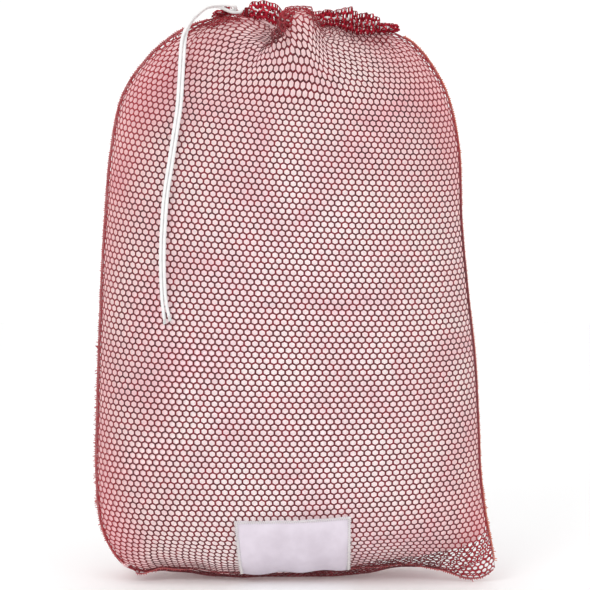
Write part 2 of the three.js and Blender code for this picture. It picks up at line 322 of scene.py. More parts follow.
# Deep tucks, where the drawcord folds the net inwards: share of the width at the hem, share
# where the tuck runs out, how far up the panel that is, and the tuck's weight.
FRONT_TUCKS = [
    (0.05, 0.045, 0.84, 0.4), (0.115, 0.11, 0.93, 0.6), (0.31, 0.44, 0.88, 0.35),
    (0.335, 0.465, 0.86, 0.6), (0.36, 0.49, 0.89, 0.35), (0.57, 0.58, 0.93, 0.4),
    (0.60, 0.60, 0.95, 0.4),
]
FRONT_TUCKS += [(0.63 + 0.026 * k, 0.63 + 0.024 * k, 0.955 - 0.004 * k, 0.36) for k in range(11)]
BACK_TUCKS = [(0.04 + 0.077 * k, 0.04 + 0.077 * k, 0.82 + 0.04 * (k % 3), 1.0) for k in range(13)]
TUCK_HALF_WIDTH = 2.4
DEEPEST_TUCK = 36
TAKE_UP = 0.16  # the share of the cut width that the net itself gives up at the hem
HALVINGS = 14  # steps of the searches for a fold's depth


def tuck_depths(tucks, shares, rows_v, widths):
    depth = np.zeros_like(shares)
    for place, low_place, start, weight in tucks:
        grown = smoothstep(rows_v, start, 1.0)
        centre = low_place + (place - low_place) * smoothstep(rows_v, start - 0.02, 1.0)
        narrow = TUCK_HALF_WIDTH * (1.6 - 0.6 * grown)
        depth += (grown * weight)[:, None] * bump(shares, centre[:, None], (narrow / widths)[:, None])
    return depth


def gather(points, side, rows_v, tucks):
    """Folds spare cloth inwards near the hem: a row is as long as the cut width, less the take-up."""
    inwards = -grid_normals(points, side)
    inwards[..., 2] *= 0.2
    inwards = unit(inwards)
    shares, widths = row_shares(points)
    depth = tuck_depths(tucks, shares, rows_v, widths)
    wanted = FLAT_WIDTH * (1 - TAKE_UP * smoothstep(rows_v, 0.8, 1.0))
    low, high = np.zeros(len(points)), np.full(len(points), float(DEEPEST_TUCK))
    for _ in range(HALVINGS):
        middle = (low + high) / 2
        folded = points + inwards * (depth * middle[:, None])[..., None]
        short = row_shares(folded)[1] < wanted
        low, high = np.where(short, middle, low), np.where(short, high, middle)
    return points + inwards * (depth * low[:, None])[..., None]


def end_lift(left_share, right_share):
    """How far the drawn-up cloth stands above the guides at each end of the mouth."""
    left = 8 * (1 - smoothstep(left_share, 0.02, 0.3))
    right = 3 * (1 - smoothstep(right_share, 0.02, 0.3))
    return left + right


def crease_panel(points, side, rows_v, shares):
    """Soft hollows and ridges that the load presses into the net, and the fold over the hem."""
    normals = grid_normals(points, side)
    v = rows_v[:, None]
    x, z = points[..., 0], points[..., 2]
    waves = 1.6 * np.sin(x / 31 + 1.3 * np.sin(z / 83)) * np.sin(z / 57 + 0.8 * np.sin(x / 47))
    waves += 1.1 * np.sin((x + 0.6 * z) / 23 + side) * np.sin((z - 0.4 * x) / 39)
    calm = smoothstep(v, 0.02, 0.14) * smoothstep(np.minimum(shares, 1 - shares), 0.0, 0.12)
    if side == FRONT:
        centre = 0.47 - 0.135 * smoothstep(v, 0.85, 1.0)
        valley = bump(shares, centre, 0.03 + 0.04 * v**8) * smoothstep(v, 0.84, 0.97)
        waves = waves * (1 - 0.7 * valley) - 9 * valley
    points = points + normals * (waves * calm)[..., None]
    foot = 1.8 * np.sin(x / 13 + side) * np.sin(x / 29) * (1 - smoothstep(v, 0.0, 0.05))
    points[..., 2] = np.maximum(points[..., 2] + foot, FLOOR_GAP)
    points[..., 2] += end_lift(shares, 1 - shares) * smoothstep(v, 0.84, 0.95)
    points[..., 2] += 4 * (1 - smoothstep(1 - shares, 0, 0.2)) * bump(v, 0.94, 0.09)
    if side == FRONT:
        points = roll_over_hem(points, v, shares)
    return points


def roll_over_hem(points, v, shares):
    """The load pushes the front net up in two places, so that it rolls over the hem from in front."""
    arch = plateau(shares, 0.355, 0.41, 0.52, 0.60)
    swell = plateau(shares, 0.10, 0.16, 0.22, 0.28)
    over = smoothstep(v, 0.82, 0.985) * (1 - 0.6 * smoothstep(v, 0.985, 1.0))
    height = (31 * arch + 9 * swell) * over
    forward = (7 * arch + 3 * swell) * plateau(v, 0.89, 0.95, 0.955, 0.985)
    back = 8 * arch * smoothstep(v, 0.97, 1.0)
    return points + np.stack([0 * height, back - forward, height], axis=-1)


def panel_table(side, rows, columns=420):
    """Points of the finished panel at even steps of cloth: [row, column]."""
    samples = 900
    rows_v = np.linspace(0, 1, 3 * rows + 1)
    u, v = np.meshgrid(np.linspace(0, 1, samples), rows_v)
    points = plain_panel(side, u, v)
    points = crease_panel(points, side, rows_v, row_shares(points)[0])
    points = gather(points, side, rows_v, FRONT_TUCKS if side == FRONT else BACK_TUCKS)
    shares, _ = row_shares(points)
    even = np.linspace(0, 1, columns + 1)
    table = np.empty((len(rows_v), columns + 1, 3))
    for j, row in enumerate(points):
        table[j] = read_line(even, shares[j], row)
    return even_rows(table, 0.84) if side == FRONT else table


def even_rows(table, start):
    """Spreads the rows above a share of the height evenly along each column's own length."""
    low = int(start * len(table))
    upper = table[low:]
    along = lengths_along(upper)
    for i in range(table.shape[1]):
        even = np.linspace(0, along[-1, i], len(upper))
        table[low:, i] = read_line(even, along[:, i], upper[:, i])
    return table


def read_table(table, across, up):
    """Bilinear reading of a table at shares of its width and height."""
    rows, columns = table.shape[0] - 1, table.shape[1] - 1
    a = np.clip(across, 0, 1) * columns
    b = np.clip(up, 0, 1) * rows
    i, j = np.minimum(a.astype(int), columns - 1), np.minimum(b.astype(int), rows - 1)
    a, b = (a - i)[..., None], (b - j)[..., None]
    low = table[j, i] * (1 - a) + table[j, i + 1] * a
    high = table[j + 1, i] * (1 - a) + table[j + 1, i + 1] * a
    return low * (1 - b) + high * b


# ---- net -----------------------------------------------------
# A hole's cell is a hexagon with a corner at the top; corners in cells across and rows up.
CELL_CORNERS = np.array([
    (0, 2 / 3), (-0.5, 1 / 3), (-0.5, -1 / 3), (0, -2 / 3), (0.5, -1 / 3), (0.5, 1 / 3),
])


def pulled_down(share):
    """Rows of holes stand a little closer together near the bottom seam."""
    reach, squeeze = 0.12, 0.17
    return (share - squeeze * reach * (1 - np.exp(-share / reach))) / (1 - squeeze * reach)


def hole_centres(cells, rows):
    """The middles of the net's holes, in cells across and rows up; every other row is shifted."""
    centres = []
    for j in range(rows + 1):
        shift = 0.5 if j % 2 == 0 else 0.0
        count = cells if j % 2 == 0 else cells + 1
        centres.extend((i + shift, j) for i in range(count))
    return np.array(centres, float)[:, None, :]


def net_faces(cell_corner, hole, below):
    """Both faces of every strand round each hole, and the net's rim, which only one hole touches."""
    after = (np.arange(6) + 1) % 6
    top = np.stack([hole, cell_corner, cell_corner[:, after], hole[:, after]], axis=-1)
    bottom = np.stack([hole[:, after], cell_corner[:, after] + below, cell_corner + below, hole], axis=-1)
    sides = np.stack([cell_corner, cell_corner[:, after]], axis=-1).reshape(-1, 2)
    sides = sides[sides[:, 0] != sides[:, 1]]
    _, first, uses = np.unique(np.sort(sides, axis=1), axis=0, return_index=True, return_counts=True)
    rim = sides[first[uses == 1]]
    rim = np.stack([rim[:, 1], rim[:, 0], rim[:, 0] + below, rim[:, 1] + below], axis=-1)
    return np.concatenate([top.reshape(-1, 4), bottom.reshape(-1, 4), rim])


def net(name, table, normals, cells, rows, row_height, width, material, row_place=lambda share: share):
    """A knotted net laid on a table: each strand has a lozenge section that shading rounds."""
    centres = hole_centres(cells, rows)
    hole_size = 1 - width / np.array((CELL_WIDTH, row_height * 4 / 3))
    limits = np.array((cells, rows), float)
    corners = np.clip(centres + CELL_CORNERS, 0, limits)
    holes = np.clip(centres + CELL_CORNERS * hole_size, 0, limits)
    fine = 12  # corners lie on whole twelfths of a cell, so shared ones are found exactly
    keys = np.round(corners.reshape(-1, 2) * fine).astype(int)
    keys, cell_corner = np.unique(keys, axis=0, return_inverse=True)
    ridge = keys / fine

    def place(flat, lift):
        across, up = flat[:, 0] / cells, row_place(flat[:, 1] / rows)
        point = read_table(table, across, up)
        normal = read_table(normals, across, up)
        return point + normal * lift

    points = np.vstack([
        place(ridge, STRAND_DEPTH / 2),
        place(ridge, -STRAND_DEPTH / 2),
        place(holes.reshape(-1, 2), 0),
    ])
    hole = 2 * len(ridge) + np.arange(len(centres) * 6).reshape(-1, 6)
    faces = net_faces(cell_corner.reshape(-1, 6), hole, len(ridge))
    return make_mesh(name, points, faces, material)


def make_panel(side, material):
    front = side == FRONT
    rows = FRONT_ROWS if front else BACK_ROWS
    cells = round(FLAT_WIDTH / CELL_WIDTH)
    table = panel_table(side, rows)
    normals = grid_normals(table, side)
    if not front:
        table, normals = table[:, ::-1], normals[:, ::-1]
    name = "front_net" if front else "back_net"
    row_height = ridges[side].length / rows
    piece = net(name, table, normals, cells, rows, row_height, STRAND_WIDTH, material, pulled_down)
    stand_for(piece, "front_panel" if front else "back_panel")
    return table if front else table[:, ::-1]


# ---- hem -----------------------------------------------------
def mouth_guide():
    """The middle of the hem all round the mouth, half a hem above the panels' plain top edges."""
    points = []
    for side in (FRONT, BACK):
        u = np.arange(12) / 12 if side == FRONT else 1 - np.arange(12) / 12
        points.append(plain_panel(side, u[None, :], np.ones((1, 12)))[0])
    ring = np.vstack(points)
    ring[:, 2] += HEM_HEIGHT / 2 + 0.5
    return Guide([tuple(p) for p in ring], closed=True)


mouth = mouth_guide()


def beside_mouth(shares, out, up):
    """Points beside the mouth ring: out from the mouth and up from the ring's middle."""
    shares = np.asarray(shares) % 1
    ahead, behind = mouth.at((shares + 0.002) % 1), mouth.at((shares - 0.002) % 1)
    along = ahead - behind
    outward = unit(np.stack([along[..., 1], -along[..., 0], 0 * along[..., 0]], axis=-1))
    lift = np.zeros(outward.shape)
    lift[..., 2] = up
    return mouth.at(shares) + outward * np.asarray(out)[..., None] + lift


HEM_SECTION = [
    (2.4, -12), (3.8, -6), (4.2, 0), (3.2, 6), (1.6, 11), (0, 12.4), (-1.6, 11), (-3.2, 6),
    (-4.2, 0), (-3.8, -6), (-2.4, -12),
]
HEM_PLEATS = 52
HEM_DEEPEST_PLEAT = 9


def hem_wobble(x, y, shares):
    """How the hem's line lifts and leans along the mouth, and how much of its height stands.

    In front it peaks and dips at the gathers, sinks behind the fold and flops forwards at the right.
    """
    front = smoothstep(-y, 0, 15)
    left_share = 2 * np.minimum(shares % 1, 1 - shares % 1)
    right_share = 2 * np.abs(shares % 1 - 0.5)
    peak, dip = bump(x, -38, 11), bump(x, -22, 10)
    behind_fold = bump(x, 12, 33)
    flop = front * bump(x, 90, 30)
    lift = front * (3 * bump(x, 52, 14) - 6 * dip - 11 * behind_fold)
    lift += (1 - front) * (3 * np.sin(x / 17) + 2 * np.sin(x / 7.3 + 1))
    lift += end_lift(left_share, right_share) + 1.0 * np.sin(2 * math.pi * 31 * shares)
    lift -= 9 * flop
    lean = 4 * flop - front * (7 * dip + 12 * behind_fold)
    at_left, at_right = 1 - smoothstep(left_share, 0.12, 0.27), 1 - smoothstep(right_share, 0, 0.3)
    upright = 1 - 0.65 * at_left - 0.65 * at_right
    upright += front * (0.12 * np.sin(x / 5.1) + 0.27 * peak + 0.2 * dip - 0.3 * behind_fold) + 0.4 * flop
    return lift, lean, np.maximum(upright, 0.25)


def hem_table(columns=1400):
    """The folded net of the hem: columns run round the mouth, rows from outside over to inside."""
    samples, section_points = 3600, 25
    section = Guide([(out, up, 0) for out, up in HEM_SECTION])
    rows = section.at(np.linspace(0, 1, section_points))
    shares = np.linspace(EXIT_END, 1 + EXIT_START, samples)
    ring = mouth.at(shares % 1)
    lift, lean, upright = hem_wobble(ring[:, 0], ring[:, 1], shares)
    front = smoothstep(-ring[:, 1], 0, 15)
    crowded = bump(ring[:, 0], 92, 60) + 0.7 * bump(ring[:, 0], -98, 30)
    plenty = front * (0.45 + 1.1 * crowded) + (1 - front)
    turns = np.cumsum(0.6 + 0.5 * plenty)
    turns *= 2 * math.pi * HEM_PLEATS / turns[-1]
    uneven = 0.9 * np.sin(turns / 8 + 1) + 0.7 * np.sin(turns / 3.6)
    pleat = plenty * np.sin(turns + uneven) * (0.85 + 0.15 * np.sin(turns / 6))
    target = 2 * FLAT_WIDTH * (1 + EXIT_START - EXIT_END)

    def ring_at(depth, out, up):
        standing = (up + HEM_HEIGHT / 2) * upright - HEM_HEIGHT / 2
        return beside_mouth(shares, lean + out + depth * pleat, lift + standing)

    low, high = 0.0, float(HEM_DEEPEST_PLEAT)
    for _ in range(HALVINGS):
        depth = (low + high) / 2
        if lengths_along(ring_at(depth, 0, 0))[-1] < target:
            low = depth
        else:
            high = depth
    along = lengths_along(ring_at(low, 0, 0))
    even = np.linspace(0, along[-1], columns + 1)
    table = np.empty((len(rows), columns + 1, 3))
    for j, (out, up, _) in enumerate(rows):
        flare = 1 + 0.18 * (up / HEM_HEIGHT + 0.5)
        table[j] = read_line(even, along, ring_at(low * flare, out, up))
    return table, section.length


def make_hem(material):
    table, height = hem_table()
    rows = round(height / HEM_ROW_HEIGHT)
    cells = round(2 * FLAT_WIDTH * (1 + EXIT_START - EXIT_END) / CELL_WIDTH)
    normals = grid_normals(table, FRONT)
    piece = net("hem_net", table, normals, cells, rows, height / rows, HEM_STRAND_WIDTH, material)
    stand_for(piece, "hem_casing")
    return table, normals


def make_hem_stitching(table, normals, material):
    """A running stitch round the outside of the hem, in the valleys and over the pleats."""
    stitch, gap, radius = 5.0, 2.2, 0.5
    level = np.full(5, 0.13)
    rise = STRAND_DEPTH * np.array([-0.4, 0.7, 0.9, 0.7, -0.4])
    length = 2 * FLAT_WIDTH
    parts = []
    for start in np.arange(4, length - 8, stitch + gap):
        t = (start + np.linspace(0, stitch, 5)) / length
        line = read_table(table, t, level) + read_table(normals, t, level) * rise[:, None]
        parts.append(tube(line, radius, 5))
    piece = make_mesh("hem_running_stitch", *join_parts(parts), material)
    stand_for(piece, "hem_stitching")


def make_bartack(name, node, share, material):
    """A bar of close stitches over the hem's end, beside the opening for the cord."""
    stitches, height, radius, half_width = 14, 22, 0.5, 0.0045
    over = np.array([-1.4, 0, 0.4, 0.4, 0, -1.4])
    ring = mouth.at(share)
    lift, _, upright = hem_wobble(ring[0], ring[1], share)
    parts = []
    for k in range(stitches):
        level = (k + 0.5) / stitches
        up = (1 + height * level) * upright - HEM_HEIGHT / 2 + lift
        out = HEM_BULGE + 3.4 + 0.9 * math.sin(math.pi * level)
        ends = np.linspace(-half_width, half_width, len(over)) + 0.0008 * (k % 2)
        parts.append(tube(beside_mouth(share + ends, out + over, up), radius, 5))
    piece = make_mesh(name, *join_parts(parts), material)
    stand_for(piece, node)


# ---- cord ----------------------------------------------------
BRAID_SIDES = 20


def braid(s, turn):
    """The ridges of a round braid: two sets of strands winding opposite ways."""
    lay = 2 * math.pi * s / 9.0
    return 1 + 0.06 * np.cos(5 * turn + lay) * np.cos(5 * turn - lay) + 0.02 * np.cos(10 * turn)


def cord_path(points, step=0.9):
    guide = Guide(points)
    return guide.at(np.linspace(0, 1, max(int(guide.length / step), 2))), guide.length


def make_fray(name, tip, direction, material):
    """The cut end: loose yarns that spread a little out of the braid."""
    yarns, ring_radius, yarn_radius = 26, 1.55, 0.33
    chance = random.Random(name)
    parts = []
    direction = unit(direction)
    across = unit(np.cross(direction, (0, 1, 0)))
    other = np.cross(direction, across)
    for k in range(yarns):
        turn = 2 * math.pi * k / yarns + chance.uniform(-0.1, 0.1)
        ring = ring_radius * math.sqrt(chance.uniform(0.05, 1))
        spread = 0.16 * ring / ring_radius + chance.uniform(0, 0.1)
        length = chance.uniform(5.5, 9.5)
        side = math.cos(turn) * across + math.sin(turn) * other
        t = np.linspace(0, 1, 6)[:, None]
        line = tip + direction * (length * t - 2) + side * (ring + spread * length * t**2)
        line[:, 1] = np.minimum(line[:, 1], tip[1] + 1.8)
        parts.append(tube(line, yarn_radius, 5))
    piece = make_mesh(name, *join_parts(parts), material)
    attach(piece, BODY)
    return piece


def make_tail(side_name, points, material):
    path, length = cord_path(points)
    piece = make_mesh(f"cord_end_{side_name}", *tube(path, CORD_DIAMETER / 2, BRAID_SIDES, braid), material)
    fray = make_fray(f"cord_fray_{side_name}", path[-1], path[-1] - path[-4], material)
    stand_for(piece, f"drawcord_tail_{side_name}")


def make_inner_cord(material):
    """The cord's run round the inside of the hem, from one side of the opening to the other."""
    shares = np.linspace(EXIT_END, 1 + EXIT_START, 520)
    ring = mouth.at(shares % 1)
    lift, lean, upright = hem_wobble(ring[:, 0], ring[:, 1], shares)
    fade = smoothstep(np.minimum(shares - EXIT_END, 1 + EXIT_START - shares), 0, 0.03)
    middle = lift + (upright - 1) * HEM_HEIGHT / 2
    path = beside_mouth(shares, lean * fade, middle * fade)
    piece = make_mesh("drawcord_inside", *tube(path, CORD_DIAMETER / 2, 12, braid), material)
    stand_for(piece, "drawcord_in_hem")


# ---- seams ---------------------------------------------------
def overlock(name, node, line, outs, size, tufts, material):
    """An overlocked edge along a seam: a rolled core, and a thread looped over it stitch by stitch.

    line and outs are the seam's points and the ways out of it, about a millimetre apart, and size
    is the edge's size at each point, as a share of its full width.
    """
    stitch, core_radius, thread_radius, tuft_radius = 3, 1.1, 0.42, 0.5
    lump = 6  # the core thickens and thins over this length
    chance = random.Random(name)
    along = unit(np.gradient(line, axis=0))
    flats = np.cross(along, outs)
    uneven = [chance.uniform(0.8, 1.15) for _ in range(len(line) // lump + 2)]

    def pinch(s, turn):
        k = s / lump
        i = min(int(k), len(uneven) - 2)
        return (uneven[i] + (uneven[i + 1] - uneven[i]) * (k - i)) * size[min(int(s), len(size) - 1)]

    core = line + outs * 2.0 * size[:, None]
    parts = [tube(core[::3], core_radius, 7, pinch)]
    for k in range(2, len(line) - 5, stitch):
        reach = 3.8 + chance.uniform(-0.9, 1.1)
        lean = along[k] * chance.uniform(0.8, 1.8)
        loop = [
            (0, 1.4, 0), (2, 1.7, 0.3), (reach, 0.9, 0.8),
            (reach, -0.9, 1), (2, -1.7, 1.2), (0, -1.4, 1.4),
        ]
        points = []
        for out, flat, slip in loop:
            points.append(line[k] + (outs[k] * out + flats[k] * flat) * size[k] + lean * slip)
        parts.append(tube(points, thread_radius, 5))
    for k in tufts:
        length = chance.uniform(1.2, 3.4)
        swing = along[k] * chance.uniform(-0.7, 0.7) + flats[k] * chance.uniform(-0.4, 0.4)
        t = np.linspace(0, 1, 5)[:, None]
        points = line[k] + outs[k] * (3 * size[k] + length * t) + swing * length * t**2
        parts.append(tube(points, tuft_radius, 5))
    piece = make_mesh(name, *join_parts(parts), material)
    stand_for(piece, node)


def side_overlock(side_name, seam, table_edge, sign, size, tuft_range, material):
    """The overlock up one side; tuft_range says between which shares of it there are how many tufts."""
    name = f"{side_name}_overlock"
    start, end = 0.012, 0.985
    count = int(seam.length * (end - start))
    share = np.linspace(start, end, count)
    line = read_line(share, np.linspace(0, 1, len(table_edge)), table_edge)
    along = np.gradient(line, axis=0)
    outs = unit(np.stack([along[:, 2], np.zeros(count), -along[:, 0]], axis=-1) * sign)
    chance = random.Random(name + "_tufts")
    low, high, number = tuft_range
    tufts = sorted(int(chance.uniform(low, high) * (count - 1)) for _ in range(number))
    overlock(name, f"{side_name}_seam_overlock", line, outs, np.full(count, size), tufts, material)


def bottom_overlock(front_foot, material):
    """The overlock along the foot: tucked under the load, and hanging down from the empty corners."""
    share = np.linspace(0.004, 0.996, 505)
    line = read_line(share, np.linspace(0, 1, len(front_foot)), front_foot)
    ear = ear_share(share, 0 * share)
    line[:, 1] += LAYER_GAP * ear
    line[:, 2] = np.maximum(line[:, 2], 6.6)
    under, down = np.array([0, 0.5, -0.85]), np.array([0, -0.05, -1])
    outs = unit(under + (down - under) * ear[:, None])
    tufts = [30, 45, 420, 455, 470]
    overlock("bottom_overlock", "bottom_seam_overlock", line, outs, 0.4 + 0.4 * ear, tufts, material)


# ---- identity patch ------------------------------------------
PATCH_WIDTH = PATCH_RIGHT - PATCH_LEFT
patch_height = (PATCH_TOP - PATCH_FOOT) * ridges[FRONT].length


def patch_place(table, normals, a, b, lift):
    """Points on the patch, a across from its left edge and b up from its foot, in millimetres."""
    a, b = np.asarray(a, float), np.asarray(b, float)
    v = PATCH_FOOT + b / ridges[FRONT].length
    lean = -7 * (b / patch_height) * (1 - a / PATCH_WIDTH)
    x = PATCH_LEFT + a + lean
    v = v + 0.003 * (a / PATCH_WIDTH) * (b / patch_height)
    rows = table.shape[0] - 1
    shares = np.linspace(0, 1, table.shape[1])
    middle = slice(int(0.2 * len(shares)), int(0.8 * len(shares)))
    across = np.empty(x.shape)
    for index in np.ndindex(x.shape):
        row = table[min(int(round(v[index] * rows)), rows)]
        across[index] = np.interp(x[index], row[middle, 0], shares[middle])
    return read_table(table, across, v) + read_table(normals, across, v) * np.asarray(lift)[..., None]


def patch_relief(a, b):
    """How far the patch's cloth stands up: it puffs in the middle and puckers at the stitches."""
    edge = np.minimum(np.minimum(a, PATCH_WIDTH - a), patch_height - b)
    puff = 0.7 * smoothstep(edge, 3, 16)
    puff += 0.35 * np.sin(a / 9 + b / 23) * np.sin(b / 11) * smoothstep(edge, 2, 12)
    pucker = 0.25 * np.sin(a * 1.3) * np.sin(b * 1.1) * (1 - smoothstep(edge, 4, 9))
    return puff + pucker


def make_patch(table, normals, cloth, thread):
    columns, rows, thickness = 64, 34, 0.55
    a, b = np.meshgrid(np.linspace(0, PATCH_WIDTH, columns + 1), np.linspace(0, patch_height, rows + 1))
    lift = PATCH_LIFT + patch_relief(a, b)
    wavy = 0.5 * np.sin(a / 7.0) * smoothstep(b, patch_height - 6, patch_height)
    outer = patch_place(table, normals, a, b + wavy, lift + thickness)
    inner = patch_place(table, normals, a, b + wavy, lift)
    points = np.vstack([outer.reshape(-1, 3), inner.reshape(-1, 3)])
    half = len(points) // 2
    front = grid_faces(rows, columns)
    back = front[:, ::-1] + half
    border = (
        [j * (columns + 1) for j in range(rows, 0, -1)]
        + list(range(columns))
        + [j * (columns + 1) + columns for j in range(rows)]
        + [rows * (columns + 1) + i for i in range(columns, 0, -1)]
    )
    rim = [(p, p + half, q + half, q) for p, q in zip(border, border[1:] + border[:1])]
    piece = make_mesh("identity_cloth", points, [*front.tolist(), *back.tolist(), *rim], cloth)
    stitches = make_patch_stitches(table, normals, thread)
    stand_for(piece, "identity_patch")


def make_patch_stitches(table, normals, material):
    """A close zigzag round three sides of the patch, wide enough to cover its raw edge."""
    pitch, inside, outside = 2.8, 4.0, -0.9
    corners = [(0, 0), (0, patch_height), (PATCH_WIDTH, patch_height), (PATCH_WIDTH, 0)]
    inward = [(1, 0), (0, -1), (-1, 0)]
    line = []
    for (a0, b0), (a1, b1), (da, db) in zip(corners, corners[1:], inward):
        count = int(math.hypot(a1 - a0, b1 - b0) / pitch * 2)
        for k in range(count):
            t = (k + 0.5) / count
            reach = inside if k % 2 else outside
            line.append((a0 + (a1 - a0) * t + da * reach, b0 + (b1 - b0) * t + db * reach))
    line = np.array(line)
    fine = np.concatenate([line[:-1], (line[:-1] + line[1:]) / 2], axis=1).reshape(-1, 2)
    lift = PATCH_LIFT + np.where(np.arange(len(fine)) % 2, 1.55, 0.95)
    points = patch_place(table, normals, fine[:, 0], fine[:, 1], lift)
    piece = make_mesh("identity_zigzag", *tube(points, 0.45, 5), material)
    stand_for(piece, "patch_stitching")
    return piece


# ---- materials -----------------------------------------------
# NET_SHADED_REDS: painted shade, the net's reds set darker than the same yarn's crimson in HEM_REDS, for
# the shade on its thin strands
NET_SHADED_REDS = [(0.10, 0.010, 0.014), (0.15, 0.013, 0.019), (0.22, 0.016, 0.026)]
HEM_REDS = [(0.34, 0.007, 0.022), (0.42, 0.009, 0.027), (0.50, 0.012, 0.034)]
# LAUNDRY_PAINTED_TINT: painted shade and red light on the laundry, from its middle out to its edges
LAUNDRY_PAINTED_TINT = [(0.4, (0.96, 0.85, 0.85)), (0.84, (0.89, 0.71, 0.70)), (0.98, (0.80, 0.56, 0.56))]


def set_node(tree, node, **values):
    """Sets a node's inputs and settings by name, with _ for a space; another node's output is linked."""
    for key, value in values.items():
        name = key.replace("_", " ")
        if isinstance(value, bpy.types.NodeSocket):
            tree.links.new(value, node.inputs[name])
        elif name in node.inputs:
            node.inputs[name].default_value = value
        else:
            setattr(node, key, value)
    return node


def add_node(tree, kind, **values):
    return set_node(tree, tree.nodes.new(kind), **values)


def new_material(name, **values):
    material = bpy.data.materials.new(name)
    material.use_nodes = True
    tree = material.node_tree
    return material, tree, set_node(tree, tree.nodes["Principled BSDF"], **values)


def add_place(tree):
    """The place of the point that is shaded, in the row frame."""
    return add_node(tree, "ShaderNodeNewGeometry").outputs["Position"]


def add_ramp(tree, value, stops):
    """A colour that goes from stop to stop as a value grows; a stop is a value and its colour."""
    ramp = add_node(tree, "ShaderNodeValToRGB", Fac=value)
    elements = ramp.color_ramp.elements
    elements[0].position, elements[1].position = stops[0][0], stops[-1][0]
    for position, _ in stops[1:-1]:
        elements.new(position)
    for element, (_, colour) in zip(elements, stops):
        element.color = (*colour, 1)
    return ramp.outputs["Color"]


def add_math(tree, operation, first, second):
    node = add_node(tree, "ShaderNodeMath", operation=operation)
    tree.links.new(first, node.inputs[0])
    tree.links.new(second, node.inputs[1])
    return node.outputs[0]


def add_range(tree, value, low, high):
    """0 to 1 as a value goes from low to high."""
    return add_node(tree, "ShaderNodeMapRange", Value=value, From_Min=low, From_Max=high).outputs["Result"]


def add_distance(tree, place, centre_height, scale):
    """Distance from a level line through the bag, with its own scale across and up."""
    shift, stretch = (0, 0, -centre_height * scale[1]), (scale[0], 0, scale[1])
    placed = add_node(tree, "ShaderNodeMapping", Vector=place, Location=shift, Scale=stretch)
    length = add_node(tree, "ShaderNodeVectorMath", operation="LENGTH")
    tree.links.new(placed.outputs["Vector"], length.inputs[0])
    return length.outputs["Value"]


def add_relief(tree, shader, height, strength, distance):
    relief = add_node(tree, "ShaderNodeBump", Height=height, Strength=strength, Distance=distance)
    set_node(tree, shader, Normal=relief.outputs["Normal"])


def add_weave(tree, shader, place, thread_pitch):
    """The relief of plain woven cloth: two sets of threads at right angles."""
    waves = []
    for direction in ("X", "Z"):
        wave = add_node(tree, "ShaderNodeTexWave", Vector=place, bands_direction=direction)
        set_node(tree, wave, Scale=0.314 / thread_pitch, Distortion=0.6, Detail=1.0)
        waves.append(wave.outputs["Fac"])
    add_relief(tree, shader, add_math(tree, "ADD", *waves), 0.35, 0.0004)


def wander(tree, shader, place, scale, colours):
    """Base colour that wanders between two or three colours with a noise."""
    noise = add_node(tree, "ShaderNodeTexNoise", Vector=place, Scale=scale, Detail=4)
    stops = list(zip(np.linspace(0.35, 0.65, len(colours)), colours))
    set_node(tree, shader, Base_Color=add_ramp(tree, noise.outputs["Fac"], stops))


def paint_lit_outskirts(material, lit_red):
    """Painted light and shade on the net: its red turns to a brighter, lit red at the mouth and along the
    seams, where it is drawn close and seen edge-on, and stays painted darker in between.
    """
    tree = material.node_tree
    shader = tree.nodes["Principled BSDF"]
    place = add_place(tree)
    height = add_node(tree, "ShaderNodeSeparateXYZ", Vector=place).outputs["Z"]
    at_mouth = add_range(tree, height, 0.742, 0.780)
    at_seams = add_range(tree, add_distance(tree, place, 0.3, (3.7, 1.9)), 0.88, 1.06)
    share = add_math(tree, "MAXIMUM", at_mouth, at_seams)
    plain = shader.inputs["Base Color"].links[0].from_socket
    # painted light: the net's red mixed towards the lit red by place, not by the yarn's own colour
    mixed = add_node(tree, "ShaderNodeMixRGB", Fac=share, Color1=plain, Color2=(*lit_red, 1))
    set_node(tree, shader, Base_Color=mixed.outputs["Color"])


def yarn_material(name, colours, roughness, sheen, twist_scale):
    """Filament yarn: fine twisted ribs, a soft sheen, and colour that varies along the yarn."""
    material, tree, shader = new_material(name, Roughness=roughness, Sheen_Weight=sheen)
    set_node(tree, shader, Sheen_Roughness=0.5, Specular_IOR_Level=0.2)
    place = add_place(tree)
    wander(tree, shader, place, 90, colours)
    wave = add_node(tree, "ShaderNodeTexWave", Vector=place, bands_direction="DIAGONAL")
    set_node(tree, wave, Scale=twist_scale, Distortion=6.0, Detail=2.0)
    add_relief(tree, shader, wave.outputs["Fac"], 0.4, 0.0003)
    return material


def label_material():
    """The patch's close white weave, a little uneven in colour."""
    material, tree, shader = new_material("label_weave", Roughness=0.85, Sheen_Weight=0.25)
    place = add_place(tree)
    wander(tree, shader, place, 38, [(0.64, 0.575, 0.65), (0.725, 0.66, 0.74)])
    add_weave(tree, shader, place, 0.0009)
    return material


def laundry_material():
    """White cotton with painted light: pinker and darker towards the edges and the top, painted shade and
    red tint where more of the net tints its light, and a faint painted glow of its own colour.
    """
    material, tree, shader = new_material("laundry_cotton", Roughness=0.85, Sheen_Weight=0.25)
    place = add_place(tree)
    plain = add_ramp(tree, add_distance(tree, place, 0.3, (3.6, 2.0)), LAUNDRY_PAINTED_TINT)
    noise = add_node(tree, "ShaderNodeTexNoise", Vector=place, Scale=9.0, Detail=3.0, Distortion=0.8)
    spots = add_range(tree, noise.outputs["Fac"], 0.40, 0.72)
    blotched = add_node(tree, "ShaderNodeMixRGB", blend_type="MULTIPLY", Fac=spots, Color1=plain)
    colour = set_node(tree, blotched, Color2=(0.92, 0.74, 0.79, 1)).outputs["Color"]
    # painted glow: the cotton emits its own tinted colour, standing in for light that reaches it through
    # the net
    set_node(tree, shader, Base_Color=colour, Emission_Color=colour, Emission_Strength=0.32)
    add_weave(tree, shader, place, 0.0012)
    return material


